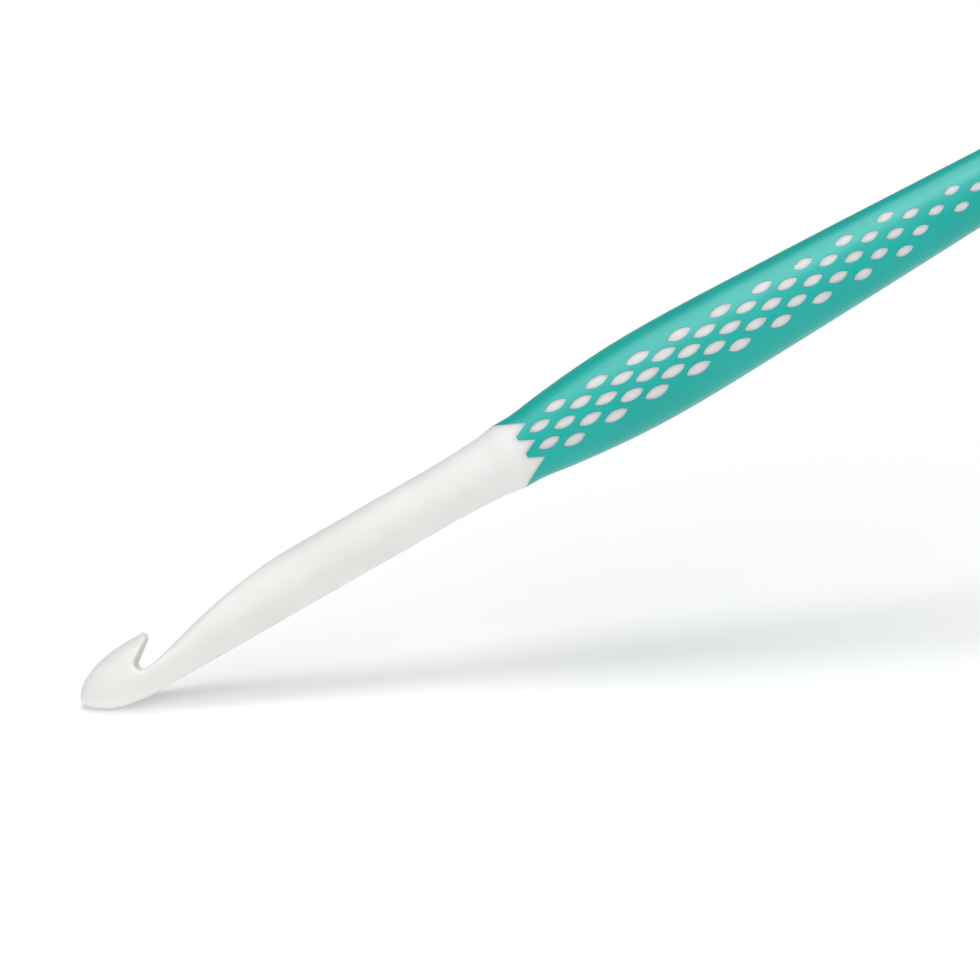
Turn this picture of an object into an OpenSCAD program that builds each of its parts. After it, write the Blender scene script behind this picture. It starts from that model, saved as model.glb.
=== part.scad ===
// Ergonomic crochet hook: a rigid moulded core, with a soft grip moulded round its handle.
// The hook's axis lies along X, the nose points to -X and the throat opens upwards, +Z.
// Distances along the hook, named _x, are counted from the tip of the nose.

/* [Overall] */
// Length from nose to butt
overall_l = 170; // [166:1:176]
// Diameter of the shaft, which is the gauge of the hook
gauge_d = 7; // [6.8:0.1:7.2]

/* [Head] */
// Length over which the nose swells to the full gauge
nose_l = 10.7; // [10.6:0.1:11.2]
// Bluntness of the tip, where a smaller power is blunter
nose_power = 0.66; // [0.6:0.02:0.74]
// How flat the nose runs out into the shaft, where a larger power is flatter
nose_curve = 3.2; // [2.8:0.1:3.6]
// Centre of the round root of the throat, along the hook
throat_x = 8.7; // [8.4:0.05:9]
// Height of that centre above the hook's axis
throat_z = 0.26; // [0.2:0.02:0.4]
// Radius of the root of the throat
throat_r = 0.72; // [0.6:0.02:0.8]
// Angle between the underside of the lip and the axis
lip_angle = 36.5; // [34:0.5:39]
// Height of the centre of the lip's rounded end
lip_z = 2.9; // [2.8:0.02:2.94]
// Radius of the rounded end of the lip
lip_r = 0.67; // [0.55:0.02:0.7]

/* [Neck] */
// Where the floor of the throat turns up into the ramp
ramp_x = 9.9; // [9.6:0.1:10.2]
// Height of the ramp there
ramp_z = -0.36; // [-0.44:0.02:-0.3]
// Where the ramp runs out into the shaft
ramp_end_x = 28.7; // [28:0.1:30]

/* [Handle] */
// Where the shaft starts to flare into the handle
flare_x = 48.5; // [48:0.5:50]
// Radius of the shoulder at the front edge of the grip
edge_r = 4.14; // [4.08:0.02:4.2]
// Where the handle is thickest
swell_x = 78.8; // [77:0.1:81]
// Largest radius of the handle
swell_r = 5.64; // [5.5:0.02:5.76]
// Where the handle is slimmest
waist_x = 146; // [142:1:150]
// Radius at the waist
waist_r = 3.4; // [3.3:0.05:3.6]
// Largest radius of the tail behind the waist
tail_r = 3.85; // [3.7:0.05:4]
// Length of the rounded butt
butt_l = 5; // [4:0.5:6]

/* [Grip] */
// Thickness of the soft grip
grip_t = 1.1; // [0.9:0.05:1.2]
// Where the points of the core reach furthest back into the grip
tooth_x = 61.9; // [61.4:0.05:62.4]
// How far the fingers of the grip reach forward from there
finger_l = 1.88; // [1.6:0.02:2]
// Distance from the last of the core's rear points to the butt
tail_tooth_l = 11; // [10:0.5:13]

/* [Windows] */
// Distance between neighbouring rows of windows
row_pitch = 1.157; // [1.1:0.001:1.18]
// Distance between neighbouring columns of windows
column_pitch = 2.787; // [2.75:0.001:2.82]
// Position of the first column
first_column_x = 63.05; // [62.9:0.05:63.5]
// Length of the longest windows
window_l = 3.36; // [3:0.02:3.4]
// Number of columns whose outer rows are filled
outer_columns = 18; // [12:1:20]
// Number of columns whose second rows are filled
second_columns = 27; // [20:1:28]
// Number of columns in the middle row
middle_columns = 30; // [28:1:31]

/* [Hidden] */
$fn = 96;

gauge_r = gauge_d / 2;
reach = 6;                  // beyond the outside of the handle, for cuts right through
tooth_slope = 0.49;         // rise over run of the sides of the points
nose_steps = 14;
ramp_steps = 9;
handle_steps = 5;           // straight stretches between two stations of the handle
butt_steps = 6;
ramp_slope = 0.286;         // slope of the ramp's first, straight part
ramp_bend_x = 14;           // where that part ends
ramp_end_slope = 0.08;
spindle_start_x = 57;
spindle_end_gap = 6;        // between the end of the recessed spindle and the butt
window_fade = 0.031;        // how much shorter windows get for each millimetre from the swell
window_base_h = 0.52;       // height of a window is this plus a share of its length
window_h_share = 0.215;
tail_x = overall_l - butt_l;

// Stations of the handle: [distance from the nose, radius, slope]
stations = [
    [flare_x, gauge_r, 0],
    [56, gauge_r + 0.29, 0.06],
    [58.3, edge_r, 0],
    [60, edge_r + 0.005, 0.03],
    [64, edge_r + 0.49, 0.125],
    [swell_x, swell_r, 0],
    [95, swell_r - 0.455, -0.036],
    [119, swell_r - 1.46, -0.0455],
    [waist_x, waist_r, 0],
    [tail_x, tail_r, 0]
];

// A cubic between two stations that keeps the slope of both
function blend(a, b, t) =
    let (run = b[0] - a[0])
    a[1] * (2 * pow(t, 3) - 3 * pow(t, 2) + 1)
    + a[2] * run * (pow(t, 3) - 2 * pow(t, 2) + t)
    + b[1] * (3 * pow(t, 2) - 2 * pow(t, 3))
    + b[2] * run * (pow(t, 3) - pow(t, 2));

// Points of the nose, from its tip back, as [distance from the nose, radius]
function nose_points() = [
    for (i = [0 : nose_steps])
        let (share = pow(i / nose_steps, 1.6))
        [nose_l * share, gauge_r * pow(1 - pow(1 - share, nose_curve), nose_power)]
];

// Points of the handle between the flare and the tail
function handle_points() = [
    for (k = [0 : len(stations) - 2], i = [0 : handle_steps - 1])
        let (a = stations[k], b = stations[k + 1], t = i / handle_steps)
        [a[0] + t * (b[0] - a[0]), blend(a, b, t)]
];

// Points of the rounded butt, a quarter ellipse that ends on the axis
function butt_points() = [
    for (i = [0 : butt_steps])
        let (a = 90 * i / butt_steps)
        [tail_x + butt_l * sin(a), i == butt_steps ? 0 : tail_r * cos(a)]
];

// Points of the ramp's top line, straight at first and then easing into the shaft
function ramp_points() =
    let (
        bend_z = ramp_z + ramp_slope * (ramp_bend_x - ramp_x),
        start = [ramp_bend_x, bend_z, ramp_slope],
        end = [ramp_end_x, gauge_r, ramp_end_slope],
        run = ramp_end_x - ramp_bend_x
    )
    concat(
        [[ramp_x, ramp_z]],
        [for (i = [0 : ramp_steps]) let (t = i / ramp_steps) [ramp_bend_x + t * run, blend(start, end, t)]]
    );

function window_length(x) = window_l - window_fade * abs(x - swell_x);
function window_height(length) = window_base_h + window_h_share * length;

// Turns an outline of [distance from the nose, radius] points into a solid about X
module turned(points) {
    rotate([0, 90, 0])
        rotate_extrude()
            polygon([for (p = points) [p[1], p[0]]]);
}

// Extrudes a side view, drawn in X and Z, right through the hook
module through() {
    rotate([90, 0, 0])
        linear_extrude(height = 2 * reach, center = true)
            children();
}

// Outside of the whole hook before the throat is cut
module outside() {
    turned(concat(nose_points(), handle_points(), butt_points()));
}

// The part of the core that the grip hides, recessed by the grip's thickness
module spindle() {
    buried = [for (p = handle_points()) if (p[0] > spindle_start_x) [p[0], p[1] - grip_t]];
    end_x = overall_l - spindle_end_gap;
    turned(concat(
        [[spindle_start_x, 0], [spindle_start_x, gauge_r - grip_t]],
        buried,
        [[end_x, tail_r - grip_t], [end_x, 0]]
    ));
}

// Side view of the core in front of a saw-tooth edge whose points end at x
module toothed_edge(x) {
    finger_x = x - finger_l;
    finger_h = row_pitch - tooth_slope * finger_l;
    outer_x = x - (reach - 2 * row_pitch) / tooth_slope;
    half = [
        [x, 0],
        [finger_x, row_pitch - finger_h],
        [finger_x, row_pitch + finger_h],
        [x, 2 * row_pitch],
        [outer_x, reach]
    ];
    lower = [for (i = [len(half) - 1 : -1 : 1]) [half[i][0], -half[i][1]]];
    polygon(concat([[-1, -reach]], lower, half, [[-1, reach]]));
}

// Side view of one window: two arcs that meet in a point at each end
module window(length) {
    half_l = length / 2;
    half_h = window_height(length) / 2;
    arc_r = (pow(half_l, 2) + pow(half_h, 2)) / (2 * half_h);
    intersection() {
        translate([0, half_h - arc_r]) circle(r = arc_r);
        translate([0, arc_r - half_h]) circle(r = arc_r);
    }
}

// Rows filled in a column: odd columns take the middle and outer rows, even ones the second rows
function filled_rows(column) =
    column % 2 == 0 ? (column < second_columns ? [-1, 1] : [])
    : column < outer_columns ? [-2, 0, 2] : [0];

// Side view of every window
module windows() {
    for (column = [0 : middle_columns - 1]) {
        x = first_column_x + column * column_pitch;
        for (row = filled_rows(column))
            translate([x, row * row_pitch])
                window(window_length(x));
    }
}

// Everything that shows the core, seen from the side
module core_showing() {
    through() toothed_edge(tooth_x);
    through() windows();
    translate([overall_l, 0, 0])
        mirror([1, 0, 0])
            through() toothed_edge(tail_tooth_l);
}

// Side view of the throat and of the space over the ramp
module throat_view() {
    end = lip_end();
    up = [-sin(lip_angle), cos(lip_angle)];
    difference() {
        union() {
            translate([throat_x, throat_z]) circle(r = throat_r);
            polygon(concat(
                [
                    [throat_x, throat_z] + throat_r * up,
                    end - lip_r * up,
                    [end[0], reach],
                    [ramp_end_x + reach, reach],
                    [ramp_end_x + reach, gauge_r + ramp_end_slope * reach]
                ],
                [for (i = [ramp_steps + 1 : -1 : 0]) ramp_points()[i]],
                [[throat_x, throat_z - throat_r]]
            ));
        }
        translate(end) circle(r = lip_r);
    }
}

// Centre of the rounded end of the lip
function lip_end() =
    let (climb = lip_z - throat_z - (throat_r + lip_r) * cos(lip_angle))
    [throat_x - (throat_r + lip_r) * sin(lip_angle) + climb / tan(lip_angle), lip_z];

// Puts the hook's axis at the height at which its thickest part rests on the ground
module placed() {
    translate([-overall_l / 2, 0, swell_r]) children();
}

// Rigid core: head, neck, shaft, recessed spindle, and the bosses that fill the windows
module hook_core() {
    color([0.93, 0.92, 0.9])
        placed()
            difference() {
                union() {
                    spindle();
                    intersection() {
                        outside();
                        core_showing();
                    }
                }
                through() throat_view();
            }
}

// Soft grip, one skin with a window for each boss
module soft_grip() {
    color([0.13, 0.7, 0.65])
        placed()
            difference() {
                outside();
                spindle();
                core_showing();
            }
}

hook_core();
soft_grip();
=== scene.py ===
import math

import bpy
import numpy as np
from mathutils import Matrix, Vector
from mathutils.geometry import delaunay_2d_cdt


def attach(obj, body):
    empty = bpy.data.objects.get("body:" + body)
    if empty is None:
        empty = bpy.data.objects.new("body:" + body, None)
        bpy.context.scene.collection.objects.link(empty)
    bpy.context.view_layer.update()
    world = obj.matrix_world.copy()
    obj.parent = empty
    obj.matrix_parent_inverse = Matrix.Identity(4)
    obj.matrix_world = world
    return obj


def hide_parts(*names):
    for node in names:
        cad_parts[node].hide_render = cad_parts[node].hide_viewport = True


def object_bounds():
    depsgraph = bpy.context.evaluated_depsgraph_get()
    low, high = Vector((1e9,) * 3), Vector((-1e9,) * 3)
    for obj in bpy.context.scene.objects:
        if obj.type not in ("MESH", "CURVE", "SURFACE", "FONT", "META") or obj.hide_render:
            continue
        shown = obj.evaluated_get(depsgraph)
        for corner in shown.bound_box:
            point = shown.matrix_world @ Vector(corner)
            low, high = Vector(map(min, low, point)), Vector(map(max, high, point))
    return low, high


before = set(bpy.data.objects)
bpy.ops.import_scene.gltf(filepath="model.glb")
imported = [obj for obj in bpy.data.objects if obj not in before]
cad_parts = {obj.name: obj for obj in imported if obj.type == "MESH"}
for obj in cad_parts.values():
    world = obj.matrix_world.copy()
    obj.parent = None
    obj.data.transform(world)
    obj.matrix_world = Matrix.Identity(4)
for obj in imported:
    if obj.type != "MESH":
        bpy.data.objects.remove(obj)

# The visual model of a crochet hook: a rigid white core with a soft teal grip moulded round its handle.
# Shapes are worked out in millimetres in the hook's own frame: x counts from the tip of the nose along the
# hook's axis, and y and z from that axis. to_row() turns them into the row's frame, in metres.

cad_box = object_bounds()
MM = 0.001
NOSE_X = cad_box[0].x
AXIS_Z = (cad_box[0].z + cad_box[1].z) / 2
OVERALL_L = (cad_box[1].x - cad_box[0].x) / MM

# ---- Sizes, as in the CAD ----
GAUGE_R = 3.5
NOSE_L = 10.7
NOSE_POWER = 0.66
NOSE_CURVE = 3.2
THROAT = (8.7, 0.26)
THROAT_R = 0.72
LIP_ANGLE = 36.5
LIP_Z = 2.9
LIP_R = 0.67
RAMP_X = 9.9
RAMP_Z = -0.36
RAMP_SLOPE = 0.286
RAMP_BEND_X = 14.0
RAMP_END_X = 28.7
RAMP_END_SLOPE = 0.08

FLARE_X = 48.5
SWELL_X = 78.8
SWELL_R = 5.64
TAIL_R = 3.85
BUTT_L = 5.0
TAIL_X = OVERALL_L - BUTT_L
# Distance from the nose, radius and slope at each station of the handle
STATIONS = (
    (FLARE_X, GAUGE_R, 0.0),
    (56.0, GAUGE_R + 0.29, 0.06),
    (58.3, 4.14, 0.0),
    (60.0, 4.145, 0.03),
    (64.0, 4.63, 0.125),
    (SWELL_X, SWELL_R, 0.0),
    (95.0, SWELL_R - 0.455, -0.036),
    (119.0, SWELL_R - 1.46, -0.0455),
    (146.0, 3.4, 0.0),
    (TAIL_X, TAIL_R, 0.0),
)
GRIP_T = 1.1
TOOTH_X = 61.9
TAIL_TOOTH_X = OVERALL_L - 11.0
TOOTH_SLOPE = 0.49
FINGER_L = 1.88

ROW_PITCH = 1.157
COLUMN_PITCH = 2.787
FIRST_COLUMN_X = 63.05
WINDOW_L = 3.36
WINDOW_FADE = 0.031
WINDOW_BASE_H = 0.52
WINDOW_H_SHARE = 0.215
OUTER_COLUMNS = 18
SECOND_COLUMNS = 27
MIDDLE_COLUMNS = 30

# ---- Roundings that only the visual model has ----
CROWN_R = 18.0          # of the throat and the ramp, seen along the hook
CROWN_REACH = 0.9       # share of that radius beyond which the crown stops growing
LIP_BLEND = 0.4         # of the edges of the throat and the lip
LIP_BLEND_X = (10.0, 13.0)      # over which it gives way to the ramp's
EDGE_BLEND = 1.2        # of the ramp's long edges
END_BLEND = 0.25        # of the end of the ramp
END_BLEND_X = (14.0, 27.0)      # over which the ramp's edges get sharper
THROAT_BLEND = 0.6      # where the floor of the throat turns up into the ramp
ROOT_BLEND = 0.3        # where the round root of the throat meets its floor
FLOOR_BLEND = 0.02      # the same, behind the root
TIP_POWER = 0.85        # of the windows: 1 gives sharp ends, less gives blunter ones
TIP_GROWTH = 1.4        # how much faster a window grows at its ends than at its sides

# ---- Fineness of the meshes ----
HEAD_END_X = 33.0       # the head's free-form mesh meets the turned handle here
HEAD_CELL = 0.16
TAIL_END_X = TAIL_X - 2.0       # the rings of the butt start here
NET_SCALE = SWELL_R * 0.85      # turns an angle into millimetres round the handle
RING_STEPS = 96
SHAFT_STEP = 0.9
HANDLE_STEP = 0.45
BUTT_STEPS = 14
WINDOW_STEPS = 22
SEAM_W = 0.045          # half the width of the fine groove where grip and core meet
SEAM_D = 0.03           # its depth


def to_row(points):
    """Points in millimetres in the hook's frame, as metres in the row's frame."""
    return np.asarray(points) * MM + np.array([NOSE_X, 0.0, AXIS_Z])


# ---- Outline of the handle ----
def between(a, b, x):
    """A cubic from station a to station b, each a position, a value and a slope."""
    run = b[0] - a[0]
    t = (x - a[0]) / run
    return (
        a[1] * (2 * t**3 - 3 * t**2 + 1)
        + a[2] * run * (t**3 - 2 * t**2 + t)
        + b[1] * (3 * t**2 - 2 * t**3)
        + b[2] * run * (t**3 - t**2)
    )


def handle_radius(x):
    """Outer radius of the shaft and the handle at each distance from the nose."""
    x = np.asarray(x, float)
    radius = np.full(x.shape, GAUGE_R)
    for a, b in zip(STATIONS, STATIONS[1:]):
        radius = np.where((x > a[0]) & (x <= b[0]), between(a, b, x), radius)
    return np.where(x > STATIONS[-1][0], TAIL_R, radius)


def turned(x, angle, inset=0.0):
    """Points on the handle. Angle 0 faces -Y, and a quarter turn on faces +Z."""
    radius = handle_radius(x) - inset
    return np.stack([x, -radius * np.cos(angle), radius * np.sin(angle)], -1)


def turned_normals(x, angle):
    """Outward normals of the handle."""
    step = 0.02
    slope = (handle_radius(x + step) - handle_radius(x - step)) / (2 * step)
    normals = np.stack([-slope, -np.cos(angle), np.sin(angle)], -1)
    return normals / np.linalg.norm(normals, axis=-1, keepdims=True)


# ---- The head, neck and ramp as one smooth free-form surface ----
def smooth_max(a, b, blend):
    """The larger of two distances, rounded over where they are nearly equal."""
    near = np.maximum(blend - np.abs(a - b), 0.0) / blend
    return np.maximum(a, b) + near**2 * blend / 4


def smooth_step(x, low, high):
    t = np.clip((x - low) / (high - low), 0.0, 1.0)
    return t * t * (3 - 2 * t)


def wedge(x, z, apex, middle, half):
    """Signed distance to an endless wedge in the side view, negative inside. Angles are in degrees."""
    middle, half = math.radians(middle), math.radians(half)
    dx, dz = x - apex[0], z - apex[1]
    along = dx * math.cos(middle) + dz * math.sin(middle)
    across = np.abs(dz * math.cos(middle) - dx * math.sin(middle))
    beside = along * math.cos(half) + across * math.sin(half) > 0
    return np.where(beside, across * math.cos(half) - along * math.sin(half), np.hypot(along, across))


def turned_body(x, y, z):
    """Signed distance to the rounded nose and the straight shaft behind it."""
    rho = np.hypot(y, z) / GAUGE_R
    ahead = np.maximum(1 - x / NOSE_L, 0.0)
    value = rho ** (1 / NOSE_POWER) + ahead**NOSE_CURVE - 1
    fall = NOSE_CURVE * ahead ** (NOSE_CURVE - 1) / NOSE_L
    steep = np.hypot(rho ** (1 / NOSE_POWER - 1) / NOSE_POWER / GAUGE_R, fall)
    return value / np.maximum(steep, 0.05)


def ramp_line(x):
    """Height of the ramp's top line, and the cosine of its slope."""
    bend_z = RAMP_Z + RAMP_SLOPE * (RAMP_BEND_X - RAMP_X)
    start, end = (RAMP_BEND_X, bend_z, RAMP_SLOPE), (RAMP_END_X, GAUGE_R, RAMP_END_SLOPE)
    straight = RAMP_Z + RAMP_SLOPE * (x - RAMP_X)
    height = np.where(x < RAMP_BEND_X, straight, between(start, end, x))
    height = np.where(x > RAMP_END_X, GAUGE_R + RAMP_END_SLOPE * (x - RAMP_END_X), height)
    slope = np.interp(x, (RAMP_BEND_X, RAMP_END_X), (RAMP_SLOPE, RAMP_END_SLOPE))
    return height, np.cos(np.arctan(slope))


def lip_centre():
    """Centre of the rounded end of the lip, in the side view."""
    angle = math.radians(LIP_ANGLE)
    climb = LIP_Z - THROAT[1] - (THROAT_R + LIP_R) * math.cos(angle)
    return THROAT[0] - (THROAT_R + LIP_R) * math.sin(angle) + climb / math.tan(angle), LIP_Z


def throat_void(x, y, z):
    """Signed distance to the open space of the throat and over the ramp, with crowned walls."""
    ramp_z, level = ramp_line(x)
    over_ramp = (ramp_z - z) * level
    floor_angle = math.degrees(math.atan2(RAMP_Z - THROAT[1] + THROAT_R, RAMP_X - THROAT[0]))
    root = wedge(x, z, THROAT, (LIP_ANGLE + floor_angle) / 2, (LIP_ANGLE - floor_angle) / 2) - THROAT_R
    rise = math.radians(floor_angle)
    floor = (RAMP_Z + math.tan(rise) * (x - RAMP_X) - z) * math.cos(rise)
    floor = smooth_max(floor, over_ramp, THROAT_BLEND)
    behind_root = smooth_step(x, THROAT[0] - 0.1, THROAT[0] + 0.5)
    root = smooth_max(root, floor, ROOT_BLEND - (ROOT_BLEND - FLOOR_BLEND) * behind_root)
    lip = lip_centre()
    lip_body = wedge(x, z, lip, (90 + 180 + LIP_ANGLE) / 2, (90 + LIP_ANGLE) / 2) - LIP_R
    past_lip = np.maximum(np.maximum(-lip_body, lip[0] - LIP_R - x), floor)
    behind = np.maximum(floor, lip[0] + 4 * LIP_R - x)
    side_view = np.minimum(np.minimum(root, past_lip), behind)
    crown = CROWN_R - np.sqrt(CROWN_R**2 - np.minimum(np.abs(y), CROWN_REACH * CROWN_R) ** 2)
    return side_view - crown


def head_distance(points):
    """Signed distance to the head, neck and shaft, negative inside."""
    x, y, z = points[..., 0], points[..., 1], points[..., 2]
    at_lip = smooth_step(-x, -LIP_BLEND_X[1], -LIP_BLEND_X[0])
    neck_blend = EDGE_BLEND + (END_BLEND - EDGE_BLEND) * smooth_step(x, *END_BLEND_X)
    blend = neck_blend * (1 - at_lip) + LIP_BLEND * at_lip
    return smooth_max(turned_body(x, y, z), -throat_void(x, y, z), blend)


def gradient(points):
    """Gradient of head_distance, by central differences."""
    step = 1e-3
    parts = []
    for axis in np.eye(3):
        rise = head_distance(points + step * axis) - head_distance(points - step * axis)
        parts.append(rise / (2 * step))
    return np.stack(parts, -1)


def settle(points, rounds=4):
    """Moves points straight onto the head's surface."""
    for _ in range(rounds):
        slope = gradient(points)
        pull = head_distance(points) / np.maximum((slope**2).sum(-1), 1e-6)
        points = points - np.clip(pull, -HEAD_CELL, HEAD_CELL)[:, None] * slope
    return points


def at_corner(array, offset, cells):
    """The values of a grid at one corner of every cell."""
    return array[tuple(slice(o, o + n) for o, n in zip(offset, cells))]


def cell_points(grid, value, cells):
    """The middle of the crossings in each cell that the surface crosses, and which cells those are."""
    total = np.zeros(cells + (3,))
    count = np.zeros(cells)
    for axis in range(3):
        others = [k for k in range(3) if k != axis]
        for bits in ((0, 0), (0, 1), (1, 0), (1, 1)):
            low = [0, 0, 0]
            low[others[0]], low[others[1]] = bits
            high = list(low)
            high[axis] = 1
            a, b = at_corner(value, low, cells), at_corner(value, high, cells)
            crossed = (a < 0) != (b < 0)
            share = np.where(crossed, a / np.where(crossed, a - b, 1.0), 0.0)
            start, end = at_corner(grid, low, cells), at_corner(grid, high, cells)
            point = start + share[..., None] * (end - start)
            total += np.where(crossed[..., None], point, 0.0)
            count += crossed
    used = count > 0
    return total[used] / count[used][:, None], used


def cell_quads(inside, number, cells):
    """A quad round each edge of the grid that the surface crosses, from the numbers of the cells' points."""
    quads = []
    for axis in range(3):
        u, v = [(1, 2), (2, 0), (0, 1)][axis]
        a = np.take(inside, range(cells[axis]), axis)
        b = np.take(inside, range(1, cells[axis] + 1), axis)
        for leaving in (True, False):
            at = np.argwhere((a & ~b) if leaving else (~a & b))
            at = at[(at[:, u] > 0) & (at[:, v] > 0) & (at[:, u] < cells[u]) & (at[:, v] < cells[v])]
            corners = []
            for du, dv in ((1, 1), (0, 1), (0, 0), (1, 0)):
                cell = at.copy()
                cell[:, u] -= du
                cell[:, v] -= dv
                corners.append(number[tuple(cell.T)])
            quad = np.stack(corners, -1)
            quads.append(quad if leaving else quad[:, ::-1])
    return np.concatenate(quads)


def surface_nets():
    """The head as quads: one point in each grid cell that the surface crosses."""
    margin = 3 * HEAD_CELL
    xs = np.arange(-margin, HEAD_END_X - HEAD_CELL, HEAD_CELL)
    ys = np.arange(-GAUGE_R - margin, GAUGE_R + margin + HEAD_CELL, HEAD_CELL)
    grid = np.stack(np.meshgrid(xs, ys, ys, indexing="ij"), -1)
    value = head_distance(grid)
    cells = tuple(n - 1 for n in value.shape)
    points, used = cell_points(grid, value, cells)
    number = np.full(cells, -1)
    number[used] = np.arange(used.sum())
    return settle(points), cell_quads(value < 0, number, cells)


def relax(points, quads, free, rounds=6):
    """Evens out the quads along the surface. Points that aren't free stay where they are."""
    ends = np.concatenate([quads[:, [k, (k + 1) % 4]] for k in range(4)])
    ends = np.concatenate([ends, ends[:, ::-1]])
    degree = np.bincount(ends[:, 0], minlength=len(points))[:, None]
    for _ in range(rounds):
        total = np.zeros_like(points)
        np.add.at(total, ends[:, 0], points[ends[:, 1]])
        middle = total / np.maximum(degree, 1)
        points = np.where(free[:, None], points + 0.5 * (middle - points), points)
        points = settle(points, 2)
    return points


def zip_rings(ring_a, angles_a, ring_b, angles_b):
    """Triangles between two rings of points, ring_b further along +x."""
    order_a, order_b = np.argsort(angles_a), np.argsort(angles_b)
    ring_a, angles_a = ring_a[order_a], angles_a[order_a]
    ring_b, angles_b = ring_b[order_b], angles_b[order_b]
    triangles, i, j = [], 0, 0
    while i < len(ring_a) or j < len(ring_b):
        next_a = angles_a[i + 1] if i + 1 < len(ring_a) else angles_a[(i + 1) % len(ring_a)] + 2 * math.pi
        next_b = angles_b[j + 1] if j + 1 < len(ring_b) else angles_b[(j + 1) % len(ring_b)] + 2 * math.pi
        a, b = ring_a[i % len(ring_a)], ring_b[j % len(ring_b)]
        if j >= len(ring_b) or (i < len(ring_a) and next_a <= next_b):
            triangles.append((a, b, ring_a[(i + 1) % len(ring_a)]))
            i += 1
        else:
            triangles.append((a, b, ring_b[(j + 1) % len(ring_b)]))
            j += 1
    return np.array(triangles)


# ---- Where the core shows through the grip, in the side view ----
def tooth_reach(z):
    """How far the saw-tooth edge lies in front of the tips of its points, at a height from the axis."""
    z = np.abs(z)
    row = np.where(z > 2 * ROW_PITCH, 2, np.round(z / (2 * ROW_PITCH)) * 2)
    reach = np.abs(z - row * ROW_PITCH) / TOOTH_SLOPE
    return np.where(z > 2 * ROW_PITCH, reach, np.minimum(reach, FINGER_L))


def edge_x(angle, rear=False, shift=0.0):
    """Where a saw-tooth edge crosses each angle round the handle."""
    x = np.full(np.shape(angle), TAIL_TOOTH_X if rear else TOOTH_X)
    for _ in range(12):
        reach = tooth_reach(handle_radius(x) * np.sin(angle))
        x = TAIL_TOOTH_X + reach if rear else TOOTH_X - reach
    return x + shift


def edge_angles(rear):
    """Angles round the handle at which a saw-tooth edge gets a point, with one on each of its corners."""
    flat = ROW_PITCH - TOOTH_SLOPE * FINGER_L
    corners = [0.0, ROW_PITCH - flat, ROW_PITCH + flat, 2 * ROW_PITCH]
    radius = handle_radius(TAIL_TOOTH_X if rear else TOOTH_X - 1)
    marks = []
    for low, high in zip(corners, corners[1:]):
        marks.extend(np.linspace(low, high, 7, endpoint=False))
    last = math.asin(2 * ROW_PITCH / radius)
    quarter = np.concatenate([np.arcsin(np.array(marks) / radius), np.linspace(last, math.pi / 2, 19)])
    front = np.concatenate([-quarter[:0:-1], quarter])
    return np.concatenate([front, math.pi - front[-2:0:-1]])


def window_list():
    """Every window as (distance from the nose, height, length)."""
    windows = []
    for column in range(MIDDLE_COLUMNS):
        x = FIRST_COLUMN_X + column * COLUMN_PITCH
        length = WINDOW_L - WINDOW_FADE * abs(x - SWELL_X)
        if column % 2 == 0:
            rows = (-1, 1) if column < SECOND_COLUMNS else ()
        else:
            rows = (-2, 0, 2) if column < OUTER_COLUMNS else (0,)
        windows.extend((x, row * ROW_PITCH, length) for row in rows)
    return windows


def window_size(length, grow=0.0):
    """Half the length and half the height of a window, grown or shrunk by a small width."""
    return length / 2 + TIP_GROWTH * grow, (WINDOW_BASE_H + WINDOW_H_SHARE * length) / 2 + grow


def window_outline(length, grow):
    """Points round a window, an almond with slightly blunt ends."""
    half_l, half_h = window_size(length, grow)
    turn = np.linspace(0, math.pi, WINDOW_STEPS // 2 + 1)
    u = -half_l * np.cos(turn)
    v = half_h * np.maximum(np.sin(turn), 0.0) ** (2 * TIP_POWER)
    return np.concatenate([np.stack([u, v], -1), np.stack([u, -v], -1)[-2:0:-1]])


def shows_core(x, angle):
    """True where the core shows at the surface."""
    z = handle_radius(x) * np.sin(angle)
    shown = (x < edge_x(angle)) | (x > edge_x(angle, rear=True))
    for window_x, window_z, length in window_list():
        half_l, half_h = window_size(length)
        inside = np.maximum(1 - ((x - window_x) / half_l) ** 2, 0.0) ** TIP_POWER
        shown |= np.abs(z - window_z) < half_h * inside
    return shown


# ---- The handle's surface, cut into triangles along every edge ----
def seam_loops():
    """Lines along and beside every edge between core and grip: points, if closed, and if in the groove."""
    loops = []

    def add_loop(x, angle, closed, sunk):
        loops.append((np.stack([x, angle * NET_SCALE], -1), closed, sunk))

    for rear in (False, True):
        angle = edge_angles(rear)
        angle = np.append(angle, angle[0] + 2 * math.pi)
        for shift in (-2 * SEAM_W, 0.0, 2 * SEAM_W):
            add_loop(edge_x(angle, rear, shift), angle, False, shift == 0.0)
    for window_x, window_z, length in window_list():
        for grow in (-SEAM_W, 0.0, SEAM_W):
            outline = window_outline(length, grow)
            x = window_x + outline[:, 0]
            front = np.arcsin((window_z + outline[:, 1]) / handle_radius(x))
            for angle in (front, math.pi - front):
                add_loop(x, angle, True, grow == 0.0)
    return loops


def joined_loops():
    """The points of every loop, the edges between them, and which points lie in the groove."""
    points, edges, groove = [], [], []
    for loop, closed, sunk in seam_loops():
        first = len(points)
        points.extend(loop)
        groove.extend([sunk] * len(loop))
        edges.extend((first + k, first + k + 1) for k in range(len(loop) - 1))
        if closed:
            edges.append((first + len(loop) - 1, first))
    return points, edges, groove


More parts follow.
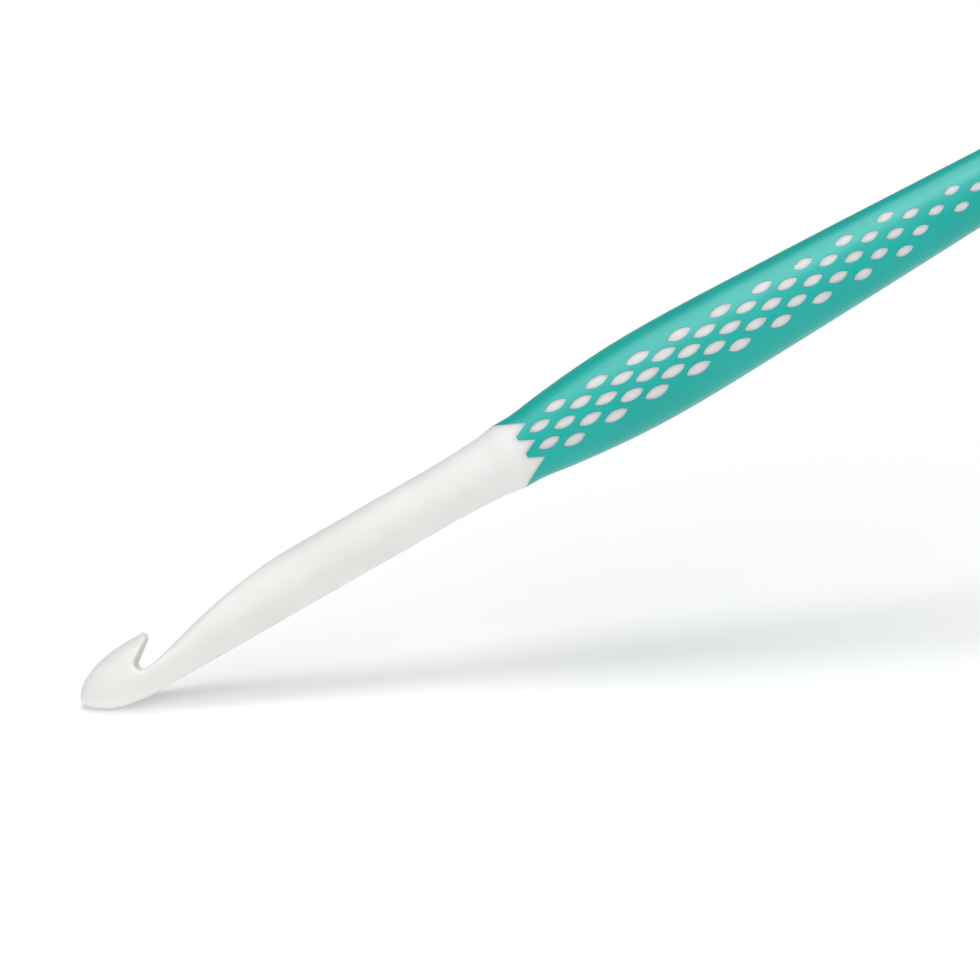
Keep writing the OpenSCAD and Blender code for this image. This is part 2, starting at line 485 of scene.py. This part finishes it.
def filling_points(loop_points, ring):
    """Staggered rings of points over the shaft and the handle, with none close to a loop."""
    shaft = np.arange(HEAD_END_X, FLARE_X, SHAFT_STEP)
    tail_steps = round((TAIL_END_X - FLARE_X) / HANDLE_STEP / 2) * 2
    xs = np.concatenate([shaft, np.linspace(FLARE_X, TAIL_END_X, tail_steps + 1)])
    halfway = (ring[1:] + ring[:-1]) / 2
    grid = []
    for k, x in enumerate(xs):
        staggered = k % 2 == 1 and k != len(xs) - 1
        around = halfway if staggered else ring
        grid.append(np.stack([np.full(len(around), x), around], -1))
    grid = np.concatenate(grid)
    keep = np.ones(len(grid), bool)
    for start in range(0, len(grid), 2000):
        gap = grid[start : start + 2000, None] - loop_points[None]
        keep[start : start + 2000] = (gap**2).sum(-1).min(1) > (0.42 * HANDLE_STEP) ** 2
    return grid[keep]


def handle_net():
    """Points (x, angle), triangles, which points lie in the groove, and which triangles show the core."""
    points, edges, groove = joined_loops()
    ring = np.linspace(-math.pi / 2, 3 * math.pi / 2, RING_STEPS + 1) * NET_SCALE
    grid = filling_points(np.array(points), ring)
    points.extend(grid)
    groove.extend([False] * len(grid))
    out = delaunay_2d_cdt([Vector(p) for p in points], edges, [], 0, 1e-6)
    made, triangles, origins = out[0], np.array([list(f) for f in out[2]]), out[3]
    made = np.array([[p.x, p.y] for p in made])
    sunk = np.array([any(groove[k] for k in origin) for origin in origins])

    # the two sides of the cut along the underside are one line
    at_low = np.flatnonzero(np.abs(made[:, 1] - ring[0]) < 1e-5)
    at_high = np.flatnonzero(np.abs(made[:, 1] - ring[-1]) < 1e-5)
    at_low = at_low[np.argsort(made[at_low, 0])]
    at_high = at_high[np.argsort(made[at_high, 0])]
    if len(at_low) != len(at_high):
        raise RuntimeError("the two sides of the handle's net don't match")
    angle = made[:, 1] / NET_SCALE
    white = shows_core(made[triangles, 0].mean(1), angle[triangles].mean(1))
    same = np.arange(len(made))
    same[at_high] = at_low
    return made[:, 0], angle, same[triangles], sunk, white


class Surface:
    """Collects points and faces, with a normal for each corner of a face."""

    def __init__(self):
        self.points, self.faces, self.normals, self.count = [], [], [], 0

    def add_points(self, points):
        first = self.count
        self.points.append(np.asarray(points, float))
        self.count += len(points)
        return first

    def add_faces(self, faces, normals):
        """normals has one normal for each corner of each face."""
        self.faces.extend(np.asarray(faces).tolist())
        self.normals.extend(np.asarray(normals).reshape(-1, 3))

    def add_flat(self, faces):
        """Faces that keep their own flat normals."""
        points = np.concatenate(self.points)
        corners = points[np.asarray(faces)]
        normal = np.cross(corners[:, 1] - corners[:, 0], corners[:, 2] - corners[:, 0])
        normal /= np.maximum(np.linalg.norm(normal, axis=-1, keepdims=True), 1e-12)
        self.add_faces(faces, np.repeat(normal[:, None], corners.shape[1], 1))

    def build(self, name, material):
        points = to_row(np.concatenate(self.points))
        used = np.zeros(len(points), bool)
        for face in self.faces:
            used[face] = True
        number = np.cumsum(used) - 1
        mesh = bpy.data.meshes.new(name)
        mesh.from_pydata(points[used].tolist(), [], [number[face].tolist() for face in self.faces])
        mesh.polygons.foreach_set("use_smooth", [True] * len(mesh.polygons))
        mesh.normals_split_custom_set([tuple(n) for n in self.normals])
        mesh.materials.append(material)
        mesh.update()
        obj = bpy.data.objects.new(name, mesh)
        bpy.context.scene.collection.objects.link(obj)
        return obj


def outer_corner_normals(points, normals, faces, sunk):
    """Corner normals of the outer skin: true to the surface, but tilted down into the groove."""
    corners = points[faces]
    flat = np.cross(corners[:, 1] - corners[:, 0], corners[:, 2] - corners[:, 0])
    flat /= np.maximum(np.linalg.norm(flat, axis=-1, keepdims=True), 1e-12)
    out = normals[faces]
    return np.where(sunk[faces][..., None], flat[:, None], out)


def border_edges(faces, others):
    """Edges of faces that are shared with others, each in its direction in faces."""
    def directed(group):
        return np.concatenate([group[:, [k, (k + 1) % 3]] for k in range(3)])

    mine, theirs = directed(faces), directed(others)
    taken = set(map(tuple, theirs.tolist()))
    return np.array([(a, b) for a, b in mine.tolist() if (b, a) in taken])


# ---- Building the two pieces ----
class Handle:
    """The handle's net laid on its outer surface and on the spindle below, and split between the pieces."""

    def __init__(self):
        self.x, self.angle, triangles, self.sunk, white = handle_net()
        self.normals = turned_normals(self.x, self.angle)
        depth = np.where(self.sunk, SEAM_D, 0.0)[:, None]
        self.outer = turned(self.x, self.angle) - self.normals * depth
        self.inner = turned(self.x, self.angle, GRIP_T)
        corners = self.outer[triangles]
        facing = np.cross(corners[:, 1] - corners[:, 0], corners[:, 2] - corners[:, 0])
        if ((facing * self.normals[triangles[:, 0]]).sum(-1) < 0).mean() > 0.5:
            triangles = triangles[:, ::-1]
        self.core_faces, self.grip_faces = triangles[white], triangles[~white]
        self.rim = border_edges(self.core_faces, self.grip_faces)

    def skin_normals(self, faces):
        return outer_corner_normals(self.outer, self.normals, faces, self.sunk)


def build_grip(handle, material):
    """The grip: its outer skin, its underside on the spindle, and the walls of its windows and ends."""
    faces, rim = handle.grip_faces, handle.rim
    grip = Surface()
    grip.add_points(handle.outer)
    below = grip.add_points(handle.inner)
    grip.add_faces(faces, handle.skin_normals(faces))
    grip.add_faces(faces[:, ::-1] + below, -handle.normals[faces[:, ::-1]])
    grip.add_flat(np.stack([rim[:, 0], rim[:, 1], rim[:, 1] + below, rim[:, 0] + below], -1))
    return grip.build("grip_skin", material)


def build_core(handle, material):
    """The core: shaft and bosses, the spindle under the grip, the head and the butt."""
    faces, rim = handle.core_faces, handle.rim
    core = Surface()
    core.add_points(handle.outer)
    below = core.add_points(handle.inner)
    core.add_faces(faces, handle.skin_normals(faces))
    core.add_faces(handle.grip_faces + below, handle.normals[handle.grip_faces])
    core.add_flat(np.stack([rim[:, 1], rim[:, 0], rim[:, 0] + below, rim[:, 1] + below], -1))
    add_head(core, handle.x, handle.angle)
    add_butt(core, handle.x, handle.angle)
    return core.build("core_shell", material)


def ring_at(x, angle, where):
    """Numbers and angles of the net's points on the ring at a distance from the nose."""
    ring = np.flatnonzero((np.abs(x - where) < 1e-5) & (angle < 3 * math.pi / 2 - 1e-4))
    return ring, angle[ring]


def add_head(core, x, angle):
    """The free-form head, joined to the first ring of the handle."""
    points, quads = surface_nets()
    last = points[:, 0] > HEAD_END_X - 2.6 * HEAD_CELL
    points = relax(points, quads, ~last)
    slope = gradient(points)
    head_normals = slope / np.linalg.norm(slope, axis=-1, keepdims=True)
    first = core.add_points(points)
    core.add_faces(quads + first, head_normals[quads])

    ends = np.concatenate([quads[:, [k, (k + 1) % 4]] for k in range(4)])
    ends_set = set(map(tuple, ends.tolist()))
    open_points = np.array(sorted({p for a, b in ends_set if (b, a) not in ends_set for p in (a, b)}))
    around = np.mod(np.arctan2(points[open_points, 2], -points[open_points, 1]) + math.pi / 2, 2 * math.pi)
    ring, ring_angle = ring_at(x, angle, HEAD_END_X)
    zipped = zip_rings(open_points + first, around, ring, np.mod(ring_angle + math.pi / 2, 2 * math.pi))
    everything = np.concatenate(core.points)
    straight = everything[zipped] * np.array([0.0, 1.0, 1.0])
    core.add_faces(zipped, straight / np.linalg.norm(straight, axis=-1, keepdims=True))


def add_butt(core, x, angle):
    """The rounded butt: rings that close on the axis."""
    ring, ring_angle = ring_at(x, angle, TAIL_END_X)
    order = np.argsort(ring_angle)
    ring, ring_angle = ring[order], ring_angle[order]
    stations = [(TAIL_X, TAIL_R, 0.0)]
    for k in range(1, BUTT_STEPS):
        turn = math.pi / 2 * k / BUTT_STEPS
        stations.append((TAIL_X + BUTT_L * math.sin(turn), TAIL_R * math.cos(turn), turn))
    before, before_normals = ring, turned_normals(np.full(len(ring), TAIL_END_X), ring_angle)
    for at, radius, turn in stations:
        points = np.stack(
            [np.full(len(ring), at), -radius * np.cos(ring_angle), radius * np.sin(ring_angle)], -1
        )
        tilt = np.array([math.sin(turn) / BUTT_L, math.cos(turn) / TAIL_R])
        tilt /= np.linalg.norm(tilt)
        normals = np.stack(
            [np.full(len(ring), tilt[0]), -tilt[1] * np.cos(ring_angle), tilt[1] * np.sin(ring_angle)], -1
        )
        after = core.add_points(points) + np.arange(len(ring))
        quads = np.stack([before, after, np.roll(after, -1), np.roll(before, -1)], -1)
        corner = np.stack(
            [before_normals, normals, np.roll(normals, -1, 0), np.roll(before_normals, -1, 0)], 1
        )
        core.add_faces(quads, corner)
        before, before_normals = after, normals
    pole = core.add_points([[OVERALL_L, 0.0, 0.0]])
    fan = np.stack([before, np.full(len(ring), pole), np.roll(before, -1)], -1)
    tip = np.tile([1.0, 0.0, 0.0], (len(ring), 1))
    corner = np.stack([before_normals, tip, np.roll(before_normals, -1, 0)], 1)
    core.add_faces(fan, corner)


# ---- Materials ----
# The low and high end of each material's cloudiness
CORE_COLOURS = ((0.79, 0.778, 0.762), (0.825, 0.817, 0.803))
GRIP_COLOURS = ((0.009, 0.405, 0.355), (0.011, 0.435, 0.384))


def new_material(name):
    material = bpy.data.materials.new(name)
    material.use_nodes = True
    nodes, links = material.node_tree.nodes, material.node_tree.links
    return material, nodes, links, nodes["Principled BSDF"]


def noise(nodes, links, scale, detail, where):
    """A noise texture in the row's own frame, with its scale in cycles per metre."""
    texture = nodes.new("ShaderNodeTexNoise")
    texture.inputs["Scale"].default_value = scale
    texture.inputs["Detail"].default_value = detail
    links.new(where, texture.inputs["Vector"])
    return texture.outputs["Fac"]


def ramp_between(nodes, links, source, low, high):
    """A colour ramp from low to high over the middle of a noise."""
    ramp = nodes.new("ShaderNodeValToRGB")
    ramp.color_ramp.elements[0].position = 0.35
    ramp.color_ramp.elements[1].position = 0.65
    ramp.color_ramp.elements[0].color = (*low, 1)
    ramp.color_ramp.elements[1].color = (*high, 1)
    links.new(source, ramp.inputs["Fac"])
    return ramp.outputs["Color"]


def map_range(nodes, links, source, low, high):
    node = nodes.new("ShaderNodeMapRange")
    node.inputs["From Min"].default_value = 0.3
    node.inputs["From Max"].default_value = 0.7
    node.inputs["To Min"].default_value = low
    node.inputs["To Max"].default_value = high
    links.new(source, node.inputs["Value"])
    return node.outputs["Result"]


def bump(nodes, links, shader, height, distance, strength):
    node = nodes.new("ShaderNodeBump")
    node.inputs["Distance"].default_value = distance
    node.inputs["Strength"].default_value = strength
    links.new(height, node.inputs["Height"])
    links.new(node.outputs["Normal"], shader.inputs["Normal"])


def polymer():
    """Satin warm-white moulded polymer, with a faint cloudiness and a very fine grain."""
    material, nodes, links, shader = new_material("core_polymer")
    where = nodes.new("ShaderNodeTexCoord").outputs["Object"]
    cloud = noise(nodes, links, 90, 3, where)
    grain = noise(nodes, links, 5200, 2, where)
    links.new(ramp_between(nodes, links, cloud, *CORE_COLOURS), shader.inputs["Base Color"])
    links.new(map_range(nodes, links, grain, 0.46, 0.56), shader.inputs["Roughness"])
    shader.inputs["IOR"].default_value = 1.5
    shader.inputs["Specular IOR Level"].default_value = 0.2
    shader.inputs["Subsurface Weight"].default_value = 1.0
    shader.inputs["Subsurface Radius"].default_value = (1.0, 0.93, 0.86)
    shader.inputs["Subsurface Scale"].default_value = 0.0012
    bump(nodes, links, shader, grain, 0.00001, 0.25)
    return material


def elastomer():
    """Matt soft-touch teal elastomer, with a fine spark-eroded grain."""
    material, nodes, links, shader = new_material("grip_elastomer")
    where = nodes.new("ShaderNodeTexCoord").outputs["Object"]
    cloud = noise(nodes, links, 120, 3, where)
    grain = noise(nodes, links, 4200, 3, where)
    links.new(ramp_between(nodes, links, cloud, *GRIP_COLOURS), shader.inputs["Base Color"])
    links.new(map_range(nodes, links, grain, 0.27, 0.37), shader.inputs["Roughness"])
    shader.inputs["IOR"].default_value = 1.42
    shader.inputs["Specular IOR Level"].default_value = 0.37
    bump(nodes, links, shader, grain, 0.000015, 0.4)
    return material


def floor_material():
    """Plain white with a faint glow, and clear from below, so that the floor never hides the hook."""
    material, nodes, links, shader = new_material("studio_floor")
    shader.inputs["Base Color"].default_value = (0.9, 0.9, 0.9, 1)
    shader.inputs["Roughness"].default_value = 0.9
    shader.inputs["Specular IOR Level"].default_value = 0.0
    shader.inputs["Emission Color"].default_value = (1, 1, 1, 1)
    shader.inputs["Emission Strength"].default_value = FLOOR_GLOW
    clear = nodes.new("ShaderNodeBsdfTransparent")
    mix = nodes.new("ShaderNodeMixShader")
    links.new(nodes.new("ShaderNodeNewGeometry").outputs["Backfacing"], mix.inputs["Fac"])
    links.new(shader.outputs["BSDF"], mix.inputs[1])
    links.new(clear.outputs["BSDF"], mix.inputs[2])
    links.new(mix.outputs["Shader"], nodes["Material Output"].inputs["Surface"])
    return material


# ---- Studio ----
VIEW_LIFT = -2.8        # height of the camera over the hook's side in degrees; below 0 it looks up at it
VIEW_ROLL = 29.78       # how far the hook's axis climbs across the picture
FLOOR_PITCH = 23.7      # how far the camera looks down on the floor
FRAME_W = 0.1157        # width of the picture at the hook
LENS, SENSOR = 200.0, 36.0
AIM_X, AIM_Z = 54.26, -2.29    # middle of the picture, along the hook and above its axis in the picture
LIGHT_DISTANCE = 1.0
KEY_SIZE, KEY_POWER = 0.38, 2.85
SHEEN_SIZE, SHEEN_POWER = 1.3, 17.5
SHEEN_LIFT, SHEEN_TURN = 70.0, 19.0    # how far the wide panel lies above the camera and towards the butt
FLOOR_HALF = 0.8        # half the floor's width
FLOOR_GLOW = 0.195      # light that comes up through the floor, as on a light table
SKY_LIFT = 30.0         # how far the middle of the soft light lies above the camera, in degrees
SKY_PEAK, SKY_REST = 1.72, 0.1


def camera_axes():
    """The picture's right and up, and the direction towards the camera, in the row's frame."""
    lift, roll = math.radians(VIEW_LIFT), math.radians(VIEW_ROLL)
    towards = Vector((0, -math.cos(lift), math.sin(lift)))
    along = Vector((1, 0, 0))
    across = towards.cross(along)
    right = along * math.cos(roll) - across * math.sin(roll)
    up = along * math.sin(roll) + across * math.cos(roll)
    return right, up, towards, across


def make_camera():
    right, up, towards, across = camera_axes()
    aim = Vector((NOSE_X + AIM_X * MM, 0, AXIS_Z)) + across * AIM_Z * MM
    data = bpy.data.cameras.new("camera")
    data.lens, data.sensor_width = LENS, SENSOR
    data.clip_start, data.clip_end = 0.01, 20
    camera = bpy.data.objects.new("camera", data)
    distance = FRAME_W * LENS / SENSOR
    turn = Matrix((right, up, towards)).transposed().to_4x4()
    camera.matrix_world = Matrix.Translation(aim + towards * distance) @ turn
    bpy.context.scene.collection.objects.link(camera)
    bpy.context.scene.camera = camera


def floor_normal():
    """Up from the floor that the nose stands on, as the picture shows it."""
    _, up, towards, _ = camera_axes()
    pitch = math.radians(FLOOR_PITCH)
    return up * math.cos(pitch) + towards * math.sin(pitch)


def make_floor(core):
    """A plain pale floor that the nose touches."""
    up = floor_normal()
    lowest = min((v.co for v in core.data.vertices), key=lambda p: p.dot(up))
    side = up.orthogonal().normalized()
    other = up.cross(side)
    signs = ((-1, -1), (1, -1), (1, 1), (-1, 1))
    corners = [lowest + side * a * FLOOR_HALF + other * b * FLOOR_HALF for a, b in signs]
    mesh = bpy.data.meshes.new("floor")
    mesh.from_pydata(corners, [], [(0, 1, 2, 3)])
    mesh.materials.append(floor_material())
    floor = bpy.data.objects.new("floor", mesh)
    bpy.context.scene.collection.objects.link(floor)


def area_light(name, direction, size, power):
    """A disc of light that faces the middle of the picture from a direction."""
    target = Vector((NOSE_X + AIM_X * MM, 0, AXIS_Z))
    data = bpy.data.lights.new(name, "AREA")
    data.shape = "DISK"
    data.size = size
    data.energy = power
    light = bpy.data.objects.new(name, data)
    light.location = target + direction * LIGHT_DISTANCE
    light.rotation_mode = "QUATERNION"
    light.rotation_quaternion = direction.to_track_quat("Z", "Y")
    light.visible_camera = False
    bpy.context.scene.collection.objects.link(light)
    return light


def make_lights():
    """A soft key over the floor, and a wide panel that only gives the handle its long soft sheen."""
    _, _, towards, across = camera_axes()
    area_light("key", floor_normal(), KEY_SIZE, KEY_POWER)
    lift, turn = math.radians(SHEEN_LIFT), math.radians(SHEEN_TURN)
    direction = (towards * math.cos(lift) + across * math.sin(lift)) * math.cos(turn)
    direction += Vector((1, 0, 0)) * math.sin(turn)
    sheen = area_light("sheen", direction, SHEEN_SIZE, SHEEN_POWER)
    sheen.visible_diffuse = False


def math_node(nodes, links, operation, source, *values):
    """A maths node fed by source, with plain numbers on its other inputs."""
    node = nodes.new("ShaderNodeMath")
    node.operation = operation
    links.new(source, node.inputs[0])
    for socket, value in zip(node.inputs[1:], values):
        socket.default_value = value
    return node.outputs["Value"]


def make_world():
    """White behind the hook, and a wide soft light in front and above that fades all round."""
    _, up, towards, _ = camera_axes()
    lift = math.radians(SKY_LIFT)
    world = bpy.data.worlds.new("studio")
    world.use_nodes = True
    nodes, links = world.node_tree.nodes, world.node_tree.links
    facing = nodes.new("ShaderNodeVectorMath")
    facing.operation = "DOT_PRODUCT"
    facing.inputs[1].default_value = up * math.sin(lift) + towards * math.cos(lift)
    links.new(nodes.new("ShaderNodeTexCoord").outputs["Generated"], facing.inputs[0])
    lit = math_node(nodes, links, "MAXIMUM", facing.outputs["Value"], 0.0)
    lobe = math_node(nodes, links, "POWER", lit, 3.0)
    sky = nodes["Background"]
    sky.inputs["Color"].default_value = (1, 1, 1, 1)
    links.new(math_node(nodes, links, "MULTIPLY_ADD", lobe, SKY_PEAK, SKY_REST), sky.inputs["Strength"])
    backdrop = nodes.new("ShaderNodeBackground")
    backdrop.inputs["Color"].default_value = (1, 1, 1, 1)
    backdrop.inputs["Strength"].default_value = 1.05
    mix = nodes.new("ShaderNodeMixShader")
    links.new(nodes.new("ShaderNodeLightPath").outputs["Is Camera Ray"], mix.inputs["Fac"])
    links.new(sky.outputs["Background"], mix.inputs[1])
    links.new(backdrop.outputs["Background"], mix.inputs[2])
    links.new(mix.outputs["Shader"], nodes["World Output"].inputs["Surface"])
    bpy.context.scene.world = world


make_camera()
handle = Handle()
core_piece = build_core(handle, polymer())
grip_piece = build_grip(handle, elastomer())
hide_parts("hook_core")
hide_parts("soft_grip")
for piece in (core_piece, grip_piece):
    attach(piece, "root")
make_floor(core_piece)
make_lights()
make_world()
bpy.context.scene.view_settings.view_transform = "Standard"
